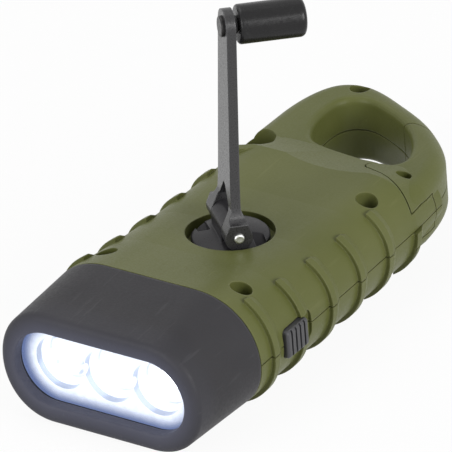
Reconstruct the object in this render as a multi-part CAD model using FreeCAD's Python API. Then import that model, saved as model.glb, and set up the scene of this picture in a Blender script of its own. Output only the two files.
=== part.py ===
import FreeCAD, Part
import math
import os

V = FreeCAD.Vector

# Hand crank flashlight, millimetres.
# While pieces are made, Y runs back from the front face, X is across and Z is up from the table.
# Places on and near the clip ring are measured forward from the rear end, so they follow the length.
# At the end everything moves forward by half the length, so the origin is under the middle.

# Overall sizes of the casing
length = 126.3
seam_z = 13.5
joint_y = 22.0
crease_y = length - 40.3
casing_end_y = length - 28.3
half_width_front = 25.1
half_width_joint = 26.6
half_width_rear = 24.6
half_width_end = 23.4
top_front = 13.0
top_joint = 14.6
top_middle = 10.6
top_rear = 11.0
top_end = 7.4
bottom_front = 13.2
bottom_end = 7.6
bottom_sag = 0.05
flat_front = 12.9
flat_joint = 11.2
flat_rear = 13.9
flat_bottom_rear = 8.0
corner_fullness = 0.58
wall = 2.0
seam_gap = 0.3
lip_height = 1.4
lip_thickness = 0.8
lip_end_y = length - 46.3
fit_gap = 0.15

# Ribs along the sides
rib_count = 5
rib_first_y = 26.1
rib_pitch = 11.7
rib_height = 0.95
rib_band = 1.8
rib_run_out = 2.6
rib_top_x = 20.4
rib_bottom_x = 18.4
rib_root_depth = 0.2

# Clip ring behind the body
ring_half_height = 7.9
ring_edge_round = 4.0
ring_left_x = -24.6
ring_front_y = length - 42.3
hole_edge_round = 1.6
hole_middle_x = -1.0
hole_middle_y = length - 18.8
hole_steps = 4
dish_x = 2.0
dish_y = length - 18.3
dish_flat_radius = 12.5
dish_radius = 25.5
dish_rise = 3.4

# Gate of the clip ring
gate_pin_x = 11.0
gate_pin_y = length - 34.0
gate_barrel_radius = 2.5
gate_gap = 0.3
gate_corner_x = 24.6
gate_corner_y = length - 41.1
gate_tip_radius = 22.0
tongue_back_y = length - 31.2
tongue_half_height = 4.2
gate_pin_radius = 0.8
gate_dimple_x = 17.3
gate_dimple_y = length - 33.5
gate_dimple_radius = 1.7
gate_dimple_depth = 1.4
gate_screw_x = 17.2
gate_screw_y = length - 26.0
gate_screw_recess_z = 8.6
gate_pin_low_z = 7.0
gate_pin_high_z = 20.6
spring_wire = 0.22
spring_radius = 1.4
spring_height = 2.2
spring_turns = 3
spring_leg = 0.9
spring_room = 1.9
gate_open_angle = 25.0
gate_open_spare = 3.0

# Head with the lamps
head_wall = 2.3
head_edge_round = 1.8
window_width = 43.0
window_height = 17.4
window_depth = 2.6
window_lip = 1.0
head_gap = 0.2
lens_thickness = 1.6
gasket_thickness = 0.6
lamp_count = 3
lamp_pitch = 12.3
cup_radius = 6.3
cup_depth = 7.2
lamp_radius = 2.5
reflector_back = 1.4
reflector_skirt_wall = 1.3
lamp_board_thickness = 1.6
lamp_board_lip = 1.1
lamp_hole_gap = 0.3
lamp_length = 6.2
spigot_start_y = 14.7
spigot_wall = 1.6

# Crank
hub_y = 51.5
hub_radius = 8.5
hub_recess_gap = 1.2
hub_recess_depth_gap = 0.3
recess_floor_thickness = 1.2
recess_wall = 1.5
hub_rim_below_top = 0.5
hub_rim_thickness = 1.8
hub_rim_chamfer = 0.3
hub_dome = 1.0
hub_shaft_radius = 3.0
pin_above_rim = 3.2
knuckle_half_width = 4.2
ear_radius = 3.0
ear_outer = 8.4
ear_shoulder = 3.0
leg_spread = 0.5
leg_top = 11.5
arm_pin_radius = 1.15
arm_length = 46.5
arm_thickness = 2.1
arm_top_width = 7.6
arm_base_width = 10.4
crank_angle = 48.0
arm_lean = 3.5
knob_radius = 4.3
knob_length = 14.6
knob_gap = 1.0
knob_axle_radius = 1.3
knob_round = 1.2
knob_near_round = 0.6
knob_cap = 0.9
knob_collar_radius = 2.0
rivet_radius = 2.3
rivet_height = 0.7
slot_half_width = 4.4
slot_peak = 9.4
slot_shoulder = 4.6
slot_tip_half_width = 1.1
slot_tip_rise = 0.8
leg_taper_end = 5.5
pin_proud = 0.6
ear_pocket_gap = 0.4
shaft_lower_radius = 2.4
shaft_flat = 1.7
wedge_depth = 1.1
gear_screw_length = 4.0
washer_radius = 3.6
washer_thickness = 0.5
stow_fold = 84.5
back_fold = 89.5

# Pocket that takes the knob when the arm is put away
pocket_angle = 117.6
pocket_radius = 5.0
pocket_slide = 3.0
pocket_wall = 1.8
pocket_floor_z = 11.0
pocket_lip = 3.3
pocket_lip_drop = 0.15
pocket_boss_low_z = 1.0

# Gears
gear_module = 0.5
pressure_angle = 25.0
tooth_height_share = 0.8
tooth_root_share = 1.05
tooth_thinning = 0.05
drive_teeth = 52
first_pinion_teeth = 12
first_wheel_teeth = 44
second_pinion_teeth = 12
second_wheel_teeth = 40
rotor_pinion_teeth = 10
first_idler_direction = 53.6
second_idler_direction = 164.6
rotor_direction = 65.0
drive_layer_z = 16.4
first_layer_z = 13.4
second_layer_z = 10.6
wheel_thickness = 2.2
drive_gear_thickness = 2.4
pinion_overlap = 0.4
idler_foot_radius = 2.2
idler_collar_radius = 1.8
end_play = 0.1
drive_hole_count = 6
drive_hole_radius = 2.4
drive_hole_circle = 8.2
idler_shaft_radius = 0.8
rotor_shaft_radius = 0.75
running_clearance = 0.05

# Gearbox plates and generator
plate_thickness = 1.0
base_plate_z = 8.6
plate_half_width = 18.0
plate_front_y = 44.9
top_plate_front_y = 41.9
plate_rear_y = 83.4
plate_round = 3.0
post_radius = 2.0
post_screw_radius = 0.9
post_screw_head_radius = 1.7
post_screw_head_height = 1.2
post_screw_bite = 1.8
posts = ((-15.8, 52.9), (15.8, 48.5), (-13.0, 80.4))
post_boss_wall = 0.6
boss_clearance = 0.4
magnet_radius = 6.3
magnet_height = 4.2
magnet_z = 3.8
magnet_above_stator = 0.3
stator_bore = 6.9
stator_radius = 9.6
stator_wall = 0.6
stator_flange = 0.8
stator_height = 4.4
claw_count = 12
claw_width = 1.6
claw_thickness = 0.5
claw_gap = 0.6
coil_gap = 0.1
bay_floor_z = 2.8

# Battery, board and switch
cell_radius = 7.0
cell_length = 6.0
cell_count = 3
cell_y = 33.0
cell_z = 9.4
board_thickness = 1.2
board_z = 17.6
board_front_y = 24.6
board_rear_y = 42.4
board_half_width = 21.6
holder_wall = 1.2
holder_gap = 0.15
cell_gap = 0.1
cell_groove = 0.3
cell_groove_place = 1.2
wire_radius = 0.45
wire_spacing = 6.0
switch_y = 35.2
slider_length = 8.0
slider_height = 6.4
slider_travel = 2.8
slider_proud = 1.15
slider_round = 0.7
slider_grooves = 4
slider_groove_pitch = 1.6
slider_groove_width = 0.6
slider_groove_depth = 0.5
slot_gap = 0.25
slider_recess = 1.1
slot_corner_round = 1.4
stem_offset = 1.2
stem_length = 3.0
stem_height = 1.8
stem_reach = 4.4
switch_body_depth = 5.2
switch_body_length = 8.6
switch_body_half_height = 2.8

# Bushes
bush_radius = 4.2
bush_drop = 0.3
bush_rise = 0.2
rotor_bush_radius = 2.0
rotor_bush_height = 1.4
rotor_bush_z = 2.0
rotor_bush_floor = 0.3
rotor_shaft_lift = 0.1
rotor_seat_wall = 1.2
stator_seat_wall = 1.6
stator_bay_gap = 0.5

# Screws
screw_radius = 1.1
front_screw_head_z = 19.4
rear_screw_head_z = 18.0
ring_screw_z = 17.6
screw_length = 9.5
pilot_gap = 0.03
pilot_spare = 0.5
screw_head_radius = 2.0
screw_head_height = 1.3
screw_well_radius = 2.4
boss_radius = 3.0
front_screw_x = 17.1
front_screw_y = 30.0
rear_screw_x = 17.7
rear_screw_y = 77.6
ring_screw_x = -13.2
ring_screw_y = length - 3.7
ring_screw_well = 2.3


def blend(a, b, t):
    return a + (b - a) * t


def body_sizes(y):
    """Half width, top height, bottom depth and flat half widths of the body at one place along Y."""
    if y <= crease_y:
        t = (y - joint_y) / (crease_y - joint_y)
        bow = 4.0 * t * (1.0 - t)
        straight_middle = blend(top_joint, top_rear, 0.5)
        width = blend(half_width_joint, half_width_rear, t)
        top = blend(top_joint, top_rear, t) + bow * (top_middle - straight_middle)
        flat = blend(flat_joint, flat_rear, t)
        flat_below = blend(flat_joint, flat_bottom_rear, t)
        return width, top, seam_z + bottom_sag, flat, flat_below
    t = (y - crease_y) / (casing_end_y - crease_y)
    width = blend(half_width_rear, half_width_end, t)
    top = blend(top_rear, top_end, t)
    bottom = blend(seam_z + bottom_sag, bottom_end, t)
    return width, top, bottom, flat_rear, flat_bottom_rear


def head_sizes(y):
    t = y / joint_y
    width = blend(half_width_front, half_width_joint, t)
    top = blend(top_front, top_joint, t)
    bottom = blend(bottom_front, seam_z, t)
    flat = blend(flat_front, flat_joint, t)
    return width, top, bottom, flat, flat


def bezier(points):
    curve = Part.BezierCurve()
    curve.setPoles(points)
    return curve.toShape()


def section(y, sizes, grow=0.0):
    """Closed outline across the body: flat top and bottom with full round corners."""
    width, top, bottom, flat, flat_below = sizes
    width += grow
    top += grow
    bottom += grow
    k = corner_fullness

    def corner(x_flat, height, side, up):
        reach = width - x_flat
        return [V(side * x_flat, y, seam_z + up * height),
                V(side * (x_flat + k * reach), y, seam_z + up * height),
                V(side * width, y, seam_z + up * k * height),
                V(side * width, y, seam_z)]

    def turned(points):
        return points[::-1]

    top_right = corner(flat, top, 1, 1)
    low_right = corner(flat_below, bottom, 1, -1)
    low_left = corner(flat_below, bottom, -1, -1)
    top_left = corner(flat, top, -1, 1)
    edges = [Part.makeLine(top_left[0], top_right[0]),
             bezier(top_right),
             bezier(turned(low_right)),
             Part.makeLine(low_right[0], low_left[0]),
             bezier(low_left),
             bezier(turned(top_left))]
    return Part.Wire(edges)


def loft(wires, ruled=True):
    return Part.makeLoft(wires, True, ruled)


def body_block(grow=0.0, start=joint_y, end=casing_end_y):
    """The body between two places along Y, grown or shrunk all round."""
    places = [start]
    step = (crease_y - joint_y) / 4.0
    for i in range(5):
        y = joint_y + i * step
        if start + 0.5 < y < end - 0.5:
            places.append(y)
    places.append(end)
    return loft([section(y, body_sizes(y), grow) for y in places])


def box(x0, y0, z0, x1, y1, z1):
    return Part.makeBox(x1 - x0, y1 - y0, z1 - z0, V(x0, y0, z0))


def disc(x, y, z0, z1, radius):
    return Part.makeCylinder(radius, z1 - z0, V(x, y, z0))


def ring(x, y, z0, z1, radius, bore):
    return disc(x, y, z0, z1, radius).cut(disc(x, y, z0 - 1, z1 + 1, bore))


def spline_through(points, closed=False):
    curve = Part.BSplineCurve()
    curve.interpolate(points, PeriodicFlag=closed)
    return curve.toShape()


def ring_outline(z):
    """Plan of the clip ring: straight sides and a rounded end that leans to the left."""
    left_start = V(ring_left_x, ring_front_y, z)
    right_start = V(half_width_end, ring_front_y, z)
    left_end = V(ring_left_x, length - 19.8, z)
    right_end = V(half_width_end, length - 34.3, z)
    end = spline_through([right_end,
                          V(22.0, length - 26.8, z), V(19.0, length - 19.5, z), V(13.6, length - 13.3, z),
                          V(6.6, length - 7.9, z), V(-1.0, length - 4.0, z), V(-7.6, length - 1.1, z),
                          V(-13.6, length, z), V(-19.3, length - 2.1, z), V(-23.2, length - 8.7, z),
                          left_end])
    return Part.Wire([Part.makeLine(left_start, right_start), Part.makeLine(right_start, right_end),
                      end, Part.makeLine(left_end, left_start)])


def hole_outline(z, grow=0.0):
    """Plan of the hole through the clip ring, grown outwards from its middle."""
    middle = V(hole_middle_x, hole_middle_y, z)
    points = [V(-11.2, length - 26.1, z), V(-13.6, length - 21.2, z), V(-14.4, length - 14.9, z),
              V(-13.0, length - 9.5, z), V(-9.2, length - 7.6, z), V(-3.6, length - 8.9, z),
              V(3.0, length - 12.2, z), V(8.6, length - 17.1, z), V(12.2, length - 22.9, z),
              V(12.9, length - 27.4, z), V(10.6, length - 29.9, z), V(5.0, length - 30.1, z),
              V(-3.4, length - 29.2, z)]
    if grow > 0:
        points = [p + (p - middle).normalize() * grow for p in points]
    return Part.Wire([spline_through(points, True)])


def hole_tool():
    """Cutter for the ring hole, flared at the top and bottom so that the rims come out rounded."""
    low = seam_z - ring_half_height
    high = seam_z + ring_half_height
    core = Part.Face(hole_outline(low - 5)).extrude(V(0, 0, high - low + 10))
    flares = []
    for way, rim in ((1, high), (-1, low)):
        wires = []
        for i in range(hole_steps + 1):
            turn = math.radians(90.0 * i / hole_steps)
            out = hole_edge_round * (1 - math.cos(turn))
            deep = hole_edge_round * (1 - math.sin(turn))
            wires.append(hole_outline(rim - way * deep, out))
        flares.append(loft(wires))
        top_face = Part.Face(wires[-1]).extrude(V(0, 0, way * 5))
        flares.append(top_face)
    return core, flares


def ring_plate():
    """The clip ring as a thick plate with well rounded outer edges."""
    low = seam_z - ring_half_height
    plate = Part.Face(ring_outline(low)).extrude(V(0, 0, 2 * ring_half_height))
    rims = []
    for edge in plate.Edges:
        box_e = edge.BoundBox
        if box_e.ZLength < 0.01 and box_e.YMax > ring_front_y + 1:
            rims.append(edge)
    return plate.makeFillet(ring_edge_round, rims)


def dish_tool():
    """Everything above the sloping surface that leads from the body top down to the ring."""
    floor = seam_z + ring_half_height
    far = dish_radius + 20.0
    rise_per_mm = dish_rise / (dish_radius - dish_flat_radius)
    far_z = floor + rise_per_mm * (far - dish_flat_radius)
    profile = Part.makePolygon([V(0, 0, floor), V(dish_flat_radius, 0, floor), V(far, 0, far_z),
                                V(far, 0, far_z + 20), V(0, 0, far_z + 20), V(0, 0, floor)])
    tool = Part.Face(profile).revolve(V(0, 0, 0), V(0, 0, 1), 360)
    tool.translate(V(dish_x, dish_y, 0))
    return tool


def rib(y, low_only):
    """One raised band: a sharp step at its front edge, then a slope back into the body."""
    y1 = y + rib_band
    y2 = y1 + rib_run_out
    band = loft([section(y, body_sizes(y), rib_height), section(y1, body_sizes(y1), rib_height),
                 section(y2, body_sizes(y2), -rib_root_depth)])
    parts = []
    for side in (-1, 1):
        low_x = sorted((side * rib_bottom_x, side * 60))
        parts.append(band.common(box(low_x[0], y - 5, -20, low_x[1], y2 + 5, seam_z)))
        if not low_only:
            high_x = sorted((side * rib_top_x, side * 60))
            parts.append(band.common(box(high_x[0], y - 5, seam_z, high_x[1], y2 + 5, 60)))
    return parts


def pocket_block(radius, z0, z1):
    """Upright block round the knob pocket, which is longer towards the hub."""
    inner_x, inner_y = around(hub, arm_length - pocket_slide, pocket_angle)
    middle = box(0, -radius, z0, pocket_slide, radius, z1)
    middle.rotate(V(0, 0, 0), V(0, 0, 1), pocket_angle)
    middle.translate(V(inner_x, inner_y, 0))
    ends = [disc(pocket_x, pocket_y, z0, z1, radius), disc(inner_x, inner_y, z0, z1, radius)]
    return middle.fuse(ends).removeSplitter()


def casing_outer():
    """The whole green outside in one block: body, pocket boss, ribs and clip ring."""
    body = body_block()
    beside = body.copy()
    beside.translate(V(-pocket_lip, 0, -pocket_lip_drop))
    lip = beside.common(pocket_block(pocket_radius + pocket_wall, pocket_boss_low_z, 60))
    block = body.fuse(lip).cut(dish_tool()).fuse(ring_plate())
    core, flares = hole_tool()
    block = block.cut([core] + flares)
    ribs = []
    for i in range(rib_count + 1):
        ribs += rib(rib_first_y + i * rib_pitch, i == rib_count)
    block = block.fuse(ribs)
    return block.cut(box(-60, -10, -10, 60, 2 * length, 0))


def around(start, distance, direction):
    turn = math.radians(direction)
    return start[0] + distance * math.cos(turn), start[1] + distance * math.sin(turn)


def pitch_radius(teeth):
    return gear_module * teeth / 2.0


# Places worked out from the sizes above
hub = (0.0, hub_y)
pocket_x, pocket_y = around(hub, arm_length, pocket_angle)
first_idler = around(hub, pitch_radius(drive_teeth + first_pinion_teeth), first_idler_direction)
second_idler = around(first_idler, pitch_radius(first_wheel_teeth + second_pinion_teeth),
                      second_idler_direction)
rotor = around(second_idler, pitch_radius(second_wheel_teeth + rotor_pinion_teeth), rotor_direction)
hub_top_z = seam_z + body_sizes(hub_y)[1]
hub_rim_z = hub_top_z - hub_rim_below_top
hub_underside_z = hub_rim_z - hub_rim_thickness
recess_floor_z = hub_underside_z - hub_recess_depth_gap
hub_recess_radius = hub_radius + hub_recess_gap
top_plate_top_z = recess_floor_z - recess_floor_thickness
top_plate_z = top_plate_top_z - plate_thickness
pin_z = hub_rim_z + pin_above_rim
lens_y = window_depth + gasket_thickness
reflector_y = lens_y + lens_thickness
reflector_rear_y = reflector_y + cup_depth + reflector_back
lamp_board_y = reflector_rear_y + 0.1
switch_face_x = body_sizes(switch_y)[0]
slider_back_x = switch_face_x - slider_recess + slot_gap
floor_z = wall
stator_low_z = magnet_z - magnet_above_stator
front_screws = ((-front_screw_x, front_screw_y), (front_screw_x, front_screw_y))
rear_screw = (rear_screw_x, rear_screw_y)
ring_screw = (ring_screw_x, ring_screw_y)


def involute(angle):
    return math.tan(angle) - angle


def gear(centre, z0, z1, teeth, phase=0.0):
    """Spur gear with involute flanks, thinned a little so that meshing teeth have play."""
    pressure = math.radians(pressure_angle)
    pitch = pitch_radius(teeth)
    base = pitch * math.cos(pressure)
    tip = pitch + gear_module * tooth_height_share
    root = pitch - gear_module * tooth_root_share
    start = max(base, root)

    def half_angle(radius):
        turn = math.acos(min(1.0, base / radius))
        thin = tooth_thinning / pitch
        return math.pi / (2 * teeth) + involute(pressure) - involute(turn) - thin

    def point(radius, angle):
        return V(centre[0] + radius * math.cos(angle), centre[1] + radius * math.sin(angle), z0)

    def arc(a, b, c):
        return Part.Arc(a, b, c).toShape()

    edges = []
    middle = (start + tip) / 2.0
    step = 2 * math.pi / teeth
    for i in range(teeth):
        at = phase + i * step
        low, mid, high = half_angle(start), half_angle(middle), half_angle(tip)
        rise = [point(start, at - low), point(middle, at - mid), point(tip, at - high)]
        fall = [point(tip, at + high), point(middle, at + mid), point(start, at + low)]
        if base > root:
            edges.append(Part.makeLine(point(root, at - low), rise[0]))
        edges.append(arc(*rise))
        edges.append(arc(rise[2], point(tip, at), fall[0]))
        edges.append(arc(*fall))
        if base > root:
            edges.append(Part.makeLine(fall[2], point(root, at + low)))
        edges.append(arc(point(root, at + low), point(root, at + step / 2), point(root, at + step - low)))
    return Part.Face(Part.Wire(edges)).extrude(V(0, 0, z1 - z0))


def meshed_phase(first, first_teeth, first_phase, second, second_teeth):
    """Turn of the second gear at which its gap faces the first gear's tooth."""
    along = math.atan2(second[1] - first[1], second[0] - first[0])
    share = (along - first_phase) * first_teeth / (2 * math.pi)
    return along + math.pi + (share + 0.5) * 2 * math.pi / second_teeth


def seam_halves(shape):
    upper = shape.common(box(-60, -10, seam_z + seam_gap / 2, 60, 200, 80))
    lower = shape.common(box(-60, -10, -20, 60, 200, seam_z - seam_gap / 2))
    return upper, lower


def cavity():
    """Room inside the two shells, with the screw bosses and the pocket wall left standing."""
    hollow = body_block(-wall, joint_y + 2.0, ring_front_y)
    throat = loft([section(y, head_sizes(y), -(head_wall + fit_gap + spigot_wall))
                   for y in (spigot_start_y - 1.0, joint_y + 2.5)])
    generator_bay = disc(rotor[0], rotor[1], bay_floor_z, base_plate_z, stator_radius + stator_bay_gap)
    room = hollow.fuse([throat, generator_bay])
    keep = [disc(x, y, -1, 40, boss_radius) for x, y in front_screws + (rear_screw,)]
    keep.append(pocket_block(pocket_radius + pocket_wall, -1, 40))
    keep.append(disc(hub[0], hub[1], top_plate_top_z, 40, hub_recess_radius + recess_wall))
    keep += [disc(x, y, top_plate_top_z, 40, post_radius + post_boss_wall) for x, y in posts]
    return room.cut(keep)


def spigot():
    """Collar in front of the shells that the head bezel is pushed over."""
    grow = -(head_wall + fit_gap)
    return loft([section(y, head_sizes(y), grow) for y in (spigot_start_y, joint_y + 0.5)])


def gate_plan(gap):
    """Plan of the gate, or with a gap of the room cut for it."""
    barrel = gate_barrel_radius + gap
    run_x = gate_corner_x - gate_pin_x
    run_y = gate_corner_y + gate_barrel_radius - gate_pin_y
    run = math.hypot(run_x, run_y)
    front = V(run_y / run, -run_x / run, 0)
    start = V(gate_pin_x, gate_pin_y, 0) + front * barrel
    along = V(run_x / run, run_y / run, 0)
    far = start + along * 40
    corners = [start, far, V(70, 130, 0), V(0, 130, 0), V(0, 106, 0), V(gate_pin_x, 99, 0),
               V(gate_pin_x, gate_pin_y, 0), start]
    area = Part.Face(Part.makePolygon(corners)).extrude(V(0, 0, 60))
    area = area.common(disc(gate_pin_x, gate_pin_y, -1, 70, gate_tip_radius + gap))
    return area.fuse(disc(gate_pin_x, gate_pin_y, 0, 60, barrel))


def tongue_room(gap):
    """Band at mid height in front of the gate's middle, where the body's hinge tongue stands."""
    half = tongue_half_height + gap
    return box(-40, 60, seam_z - half, 60, tongue_back_y + gap, seam_z + half)


def casing():
    """Body and gate blocks, cut apart along the gate's gap."""
    block = casing_outer()
    tongue = block.common(gate_plan(gate_gap)).common(tongue_room(-gate_gap))
    swing = disc(gate_pin_x, gate_pin_y, seam_z - tongue_half_height, seam_z + tongue_half_height,
                 gate_barrel_radius)
    gate = block.common(gate_plan(0.0)).cut([tongue_room(0.0), swing])
    opened = gate_plan(0.0)
    opened.rotate(V(gate_pin_x, gate_pin_y, 0), V(0, 0, 1), gate_open_angle + gate_open_spare)
    body = block.cut([gate_plan(gate_gap), opened]).fuse(tongue)
    body = body.fuse(spigot())
    return body, gate


def screw_well(x, y, head_z, well_radius=screw_well_radius):
    """Room for one screw let in from above: wide well, then a clearance hole."""
    return [disc(x, y, head_z, 60, well_radius),
            disc(x, y, seam_z - 1, head_z + 1, screw_radius + fit_gap)]


def pilot(x, y, head_z):
    return disc(x, y, head_z - screw_length - pilot_spare, seam_z + 1, screw_radius + pilot_gap)


def screw(x, y, head_z, length, shank=screw_radius, head=screw_head_radius,
          height=screw_head_height, way=1):
    """Cross head screw; way is 1 with the head up and -1 with the head down."""
    tall = way * height
    body = disc_between(x, y, head_z, head_z + tall, head)
    body = body.fuse(disc_between(x, y, head_z - way * length, head_z, shank))
    low = head_z + 0.45 * tall
    top = head_z + 1.5 * tall
    arm = 0.62 * head
    half = 0.12 * head
    z0, z1 = min(low, top), max(low, top)
    cross = [box(x - arm, y - half, z0, x + arm, y + half, z1),
             box(x - half, y - arm, z0, x + half, y + arm, z1)]
    return body.cut(cross)


def disc_between(x, y, za, zb, radius):
    return disc(x, y, min(za, zb), max(za, zb), radius)


def slot_tools():
    """Recess and slot in the right side for the sliding button."""
    half_z = slider_height / 2 + slot_gap
    y0 = switch_y - slider_length / 2 - slot_gap
    y1 = switch_y + slider_length / 2 + slider_travel + slot_gap
    recess = box(switch_face_x - slider_recess, y0, seam_z - half_z,
                 switch_face_x + 5, y1, seam_z + half_z)
    corner_edges = [e for e in recess.Edges if e.BoundBox.XLength > 3]
    recess = recess.makeFillet(slot_corner_round, corner_edges)
    stem_y0 = switch_y + stem_offset - stem_length / 2 - slot_gap
    stem_y1 = switch_y + stem_offset + stem_length / 2 + slider_travel + slot_gap
    through = box(switch_face_x - 8, stem_y0, seam_z - stem_height / 2 - slot_gap,
                  switch_face_x, stem_y1, seam_z + stem_height / 2 + slot_gap)
    return [recess, through]


def lip_room(gap):
    """Stepped edge along the seam inside the shells, with an open end at the ring."""
    outer = body_block(-(wall - lip_thickness) + gap, joint_y + 2.2, lip_end_y + gap)
    inner = body_block(-wall - 0.01, joint_y + 1.0, lip_end_y + 2.0)
    band = box(-60, 0, seam_z - 2.0, 60, 200, seam_z + lip_height + gap)
    return outer.cut(inner).common(band)


def shells(body):
    upper, lower = seam_halves(body.cut(cavity()))
    recess = disc(hub[0], hub[1], recess_floor_z, 60, hub_recess_radius)
    bush_hole = disc(hub[0], hub[1], top_plate_z, 60, bush_radius)
    pocket = pocket_block(pocket_radius, pocket_floor_z, 60)
    cuts = [recess, bush_hole, pocket, lip_room(fit_gap)]
    for x, y in front_screws:
        cuts += screw_well(x, y, front_screw_head_z)
    cuts += screw_well(rear_screw_x, rear_screw_y, rear_screw_head_z)
    cuts += screw_well(ring_screw_x, ring_screw_y, ring_screw_z, ring_screw_well)
    cuts += [disc(x, y, top_plate_z, top_plate_top_z + post_screw_bite + pilot_spare,
                  post_screw_radius + pilot_gap) for x, y in posts]
    cuts += slot_tools() + gate_tongue_cuts()
    upper = upper.cut(cuts)
    seats = [ring(rotor[0], rotor[1], floor_z - 1, stator_low_z, stator_radius,
                  stator_radius - stator_seat_wall),
             ring(rotor[0], rotor[1], floor_z - 1, rotor_bush_z + rotor_bush_height,
                  rotor_bush_radius + rotor_seat_wall, rotor_bush_radius)]
    lower = lower.fuse(seats + [lip_room(0.0)])
    pilots = [pilot(x, y, front_screw_head_z) for x, y in front_screws]
    pilots.append(pilot(rear_screw_x, rear_screw_y, rear_screw_head_z))
    pilots.append(pilot(ring_screw_x, ring_screw_y, ring_screw_z))
    bush_seat = disc(rotor[0], rotor[1], rotor_bush_z, magnet_z, rotor_bush_radius)
    lower = lower.cut(pilots + slot_tools() + gate_tongue_cuts() + [pocket, bush_seat])
    return biggest(upper), biggest(lower)


def biggest(shape):
    """The main solid of a cut piece, without loose chips."""
    return max(shape.Solids, key=lambda s: s.Volume)


def gate_tongue_cuts():
    """Pin hole through the tongue and the room for the spring in its top."""
    top = seam_z + tongue_half_height - gate_gap
    return [disc(gate_pin_x, gate_pin_y, gate_pin_low_z, gate_pin_high_z, gate_pin_radius),
            disc(gate_pin_x, gate_pin_y, top - spring_height - 0.3, top + 1, spring_room),
            disc(gate_pin_x + spring_radius, gate_pin_y, top - spring_height - spring_leg - 0.6,
                 top, spring_wire + fit_gap)]


def gate_halves(gate):
    """Upper and lower gate halves, held together by one screw from below."""
    hole = disc(gate_pin_x, gate_pin_y, gate_pin_low_z - 0.1, gate_pin_high_z + 0.1,
                gate_pin_radius + running_clearance)
    top = seam_z + tongue_half_height
    leg_hole = disc(gate_pin_x + spring_radius, gate_pin_y, top - 1, top + spring_leg + 0.3,
                    spring_wire + fit_gap)
    dimple = disc(gate_dimple_x, gate_dimple_y, seam_z, 60, gate_dimple_radius)
    surface = seam_z + ring_half_height - gate_dimple_depth
    dimple = dimple.common(box(-60, 0, surface, 60, 200, 60))
    well = disc(gate_screw_x, gate_screw_y, -5, gate_screw_recess_z, screw_well_radius)
    clear = disc(gate_screw_x, gate_screw_y, -5, seam_z, screw_radius + fit_gap)
    thread = disc(gate_screw_x, gate_screw_y, seam_z - 1, gate_screw_recess_z + screw_length,
                  screw_radius + pilot_gap)
    upper, lower = seam_halves(gate)
    upper = upper.cut([hole, leg_hole, dimple, thread])
    lower = lower.cut([hole, well, clear])
    return biggest(upper), biggest(lower)


def gate_pin_piece():
    return disc(gate_pin_x, gate_pin_y, gate_pin_low_z, gate_pin_high_z, gate_pin_radius)


def gate_spring():
    """Small coil round the gate pin with a leg into the tongue and a leg into the gate."""
    top = seam_z + tongue_half_height - gate_gap
    z0 = top - spring_height
    rise = spring_height - 2 * spring_wire
    helix = Part.makeHelix(rise / spring_turns, rise, spring_radius)
    start = V(spring_radius, 0, 0)
    section_wire = Part.Wire(Part.makeCircle(spring_wire, start, V(0, 1, 0)))
    coil = Part.Wire(helix).makePipeShell([section_wire], True, True)
    coil = Part.Solid(coil) if coil.ShapeType == "Shell" else coil
    coil.translate(V(gate_pin_x, gate_pin_y, z0 + spring_wire))
    x = gate_pin_x + spring_radius
    low = disc(x, gate_pin_y, z0 + spring_wire - spring_leg, z0 + spring_wire, spring_wire)
    high = disc(x, gate_pin_y, top - spring_wire, top + spring_leg, spring_wire)
    ends = [Part.makeSphere(spring_wire, V(x, gate_pin_y, z0 + spring_wire)),
            Part.makeSphere(spring_wire, V(x, gate_pin_y, top - spring_wire))]
    return coil.fuse([low, high] + ends)


def round_slot(half_width, half_height, y0, y1):
    """Flat sided block with half round ends, lying across the head."""
    straight = half_width - half_height
    block = box(-straight, y0, seam_z - half_height, straight, y1, seam_z + half_height)
    ends = []
    for side in (-1, 1):
        ends.append(Part.makeCylinder(half_height, y1 - y0, V(side * straight, y0, seam_z), V(0, 1, 0)))
    return block.fuse(ends).removeSplitter()


def head_bezel():
    outer = loft([section(0, head_sizes(0)), section(joint_y - head_gap, head_sizes(joint_y - head_gap))])
    front_edges = [e for e in outer.Edges if e.BoundBox.YMax < 0.01]
    outer = outer.makeFillet(head_edge_round, front_edges)
    inner = loft([section(window_depth, head_sizes(window_depth), -head_wall),
                  section(joint_y + 1, head_sizes(joint_y + 1), -head_wall)])
    half_w, half_h = window_width / 2, window_height / 2
    window = round_slot(half_w, half_h, -1, window_depth + 1)
    bezel = outer.cut([inner, window])
    rim = [e for e in bezel.Edges if abs(e.BoundBox.YMax) < 0.01 and e.BoundBox.XMax < half_w + 0.1
           and e.BoundBox.XMin > -half_w - 0.1]
    return bezel.makeFillet(0.5, rim)


def lens_gasket():
    half_w, half_h = window_width / 2, window_height / 2
    outer = round_slot(half_w + window_lip, half_h + window_lip, window_depth, lens_y)
    return outer.cut(round_slot(half_w + 0.2, half_h + 0.2, window_depth - 1, lens_y + 1))


def lens():
    half_w, half_h = window_width / 2, window_height / 2
    return round_slot(half_w + window_lip, half_h + window_lip, lens_y, reflector_y)


def lamp_places():
    first = -(lamp_count - 1) / 2.0
    return [(first + i) * lamp_pitch for i in range(lamp_count)]


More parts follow.
